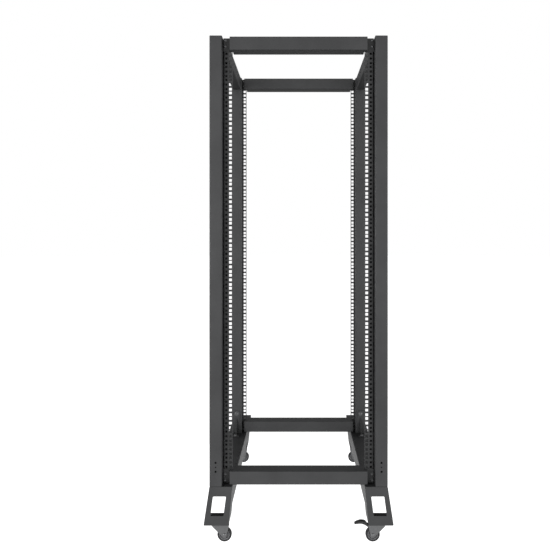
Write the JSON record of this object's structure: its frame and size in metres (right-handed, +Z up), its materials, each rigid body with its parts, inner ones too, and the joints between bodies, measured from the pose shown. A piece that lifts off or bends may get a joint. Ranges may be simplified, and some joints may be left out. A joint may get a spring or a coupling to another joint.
{
  "type": "open frame equipment rack",
  "caption": "Tall open-frame rack for 19-inch machines: posts with square-hole strips, crossbars, side rails and splayed feet on swivel casters.",
  "frame": {"origin": "on the floor, under the middle of the base", "axes": "+Z up; the front faces -Y; +X is on the right of someone who faces the front"},
  "size_m": [0.64, 1, 1.7207],
  "materials": {
    "powder_coat": "fine-textured black powder coat, semi-matte",
    "zinc": "dull grey zinc plate",
    "black_zinc": "black zinc plate, satin",
    "rubber": "matte black rubber",
    "grey_plastic": "moulded dark grey plastic",
    "black_plastic": "moulded black plastic"
  },
  "bodies": {
    "frame": {"post_front_left": "powder_coat", "mounting_strip_front_left": "powder_coat", "post_front_right": "powder_coat", "mounting_strip_front_right": "powder_coat", "post_rear_left": "powder_coat", "mounting_strip_rear_left": "powder_coat", "post_rear_right": "powder_coat", "mounting_strip_rear_right": "powder_coat", "crossbar_top_front": "powder_coat", "crossbar_top_rear": "powder_coat", "crossbar_bottom_front": "powder_coat", "crossbar_bottom_rear": "powder_coat", "side_rail_left": "powder_coat", "side_rail_right": "powder_coat", "base_rail_left": "powder_coat", "base_rail_right": "powder_coat", "foot_front_left": "powder_coat", "foot_front_right": "powder_coat", "foot_rear_left": "powder_coat", "foot_rear_right": "powder_coat", "gusset_front_left": "powder_coat", "gusset_front_right": "powder_coat", "gusset_rear_left": "powder_coat", "gusset_rear_right": "powder_coat", "gusset_bolt_upper_front_left": "zinc", "gusset_bolt_lower_front_left": "zinc", "gusset_bolt_upper_front_right": "zinc", "gusset_bolt_lower_front_right": "zinc", "gusset_bolt_upper_rear_left": "zinc", "gusset_bolt_lower_rear_left": "zinc", "gusset_bolt_upper_rear_right": "zinc", "gusset_bolt_lower_rear_right": "zinc", "caster_plate_front_left": "black_zinc", "king_pin_front_left": "zinc", "caster_plate_front_right": "black_zinc", "king_pin_front_right": "zinc", "caster_plate_rear_left": "black_zinc", "king_pin_rear_left": "zinc", "caster_plate_rear_right": "black_zinc", "king_pin_rear_right": "zinc"},
    "caster_front_left": {"fork_front_left": "zinc", "axle_front_left": "zinc"},
    "caster_front_right": {"fork_front_right": "zinc", "axle_front_right": "zinc", "brake_pin_front_right": "zinc"},
    "caster_rear_left": {"fork_rear_left": "zinc", "axle_rear_left": "zinc"},
    "caster_rear_right": {"fork_rear_right": "zinc", "axle_rear_right": "zinc"},
    "wheel_front_left": {"wheel_core_front_left": "grey_plastic", "tyre_front_left": "rubber"},
    "wheel_front_right": {"wheel_core_front_right": "grey_plastic", "tyre_front_right": "rubber"},
    "wheel_rear_left": {"wheel_core_rear_left": "grey_plastic", "tyre_rear_left": "rubber"},
    "wheel_rear_right": {"wheel_core_rear_right": "grey_plastic", "tyre_rear_right": "rubber"},
    "brake": {"brake_pedal_front_right": "black_plastic"}
  },
  "joints": [
    {"name": "swivel_front_left", "type": "hinge", "parent": "frame", "child": "caster_front_left", "pos_m": [-0.281, -0.445, 0.0664], "axis": [0, 0, 1], "continuous": true},
    {"name": "swivel_front_right", "type": "hinge", "parent": "frame", "child": "caster_front_right", "pos_m": [0.281, -0.445, 0.0664], "axis": [0, 0, 1], "continuous": true},
    {"name": "swivel_rear_left", "type": "hinge", "parent": "frame", "child": "caster_rear_left", "pos_m": [-0.281, 0.445, 0.0664], "axis": [0, 0, 1], "continuous": true},
    {"name": "swivel_rear_right", "type": "hinge", "parent": "frame", "child": "caster_rear_right", "pos_m": [0.281, 0.445, 0.0664], "axis": [0, 0, 1], "continuous": true},
    {"name": "spin_front_left", "type": "hinge", "parent": "caster_front_left", "child": "wheel_front_left", "pos_m": [-0.254, -0.445, 0.02452], "axis": [0, 1, 0], "continuous": true},
    {"name": "spin_front_right", "type": "hinge", "parent": "caster_front_right", "child": "wheel_front_right", "pos_m": [0.254, -0.445, 0.02452], "axis": [0, 1, 0], "continuous": true},
    {"name": "spin_rear_left", "type": "hinge", "parent": "caster_rear_left", "child": "wheel_rear_left", "pos_m": [-0.254, 0.445, 0.02452], "axis": [0, 1, 0], "continuous": true},
    {"name": "spin_rear_right", "type": "hinge", "parent": "caster_rear_right", "child": "wheel_rear_right", "pos_m": [0.254, 0.445, 0.02452], "axis": [0, 1, 0], "continuous": true},
    {"name": "brake_hinge", "type": "hinge", "parent": "caster_front_right", "child": "brake", "pos_m": [0.247, -0.445, 0.055], "axis": [0, -1, 0], "range_deg": [0, 18]}
  ]
}
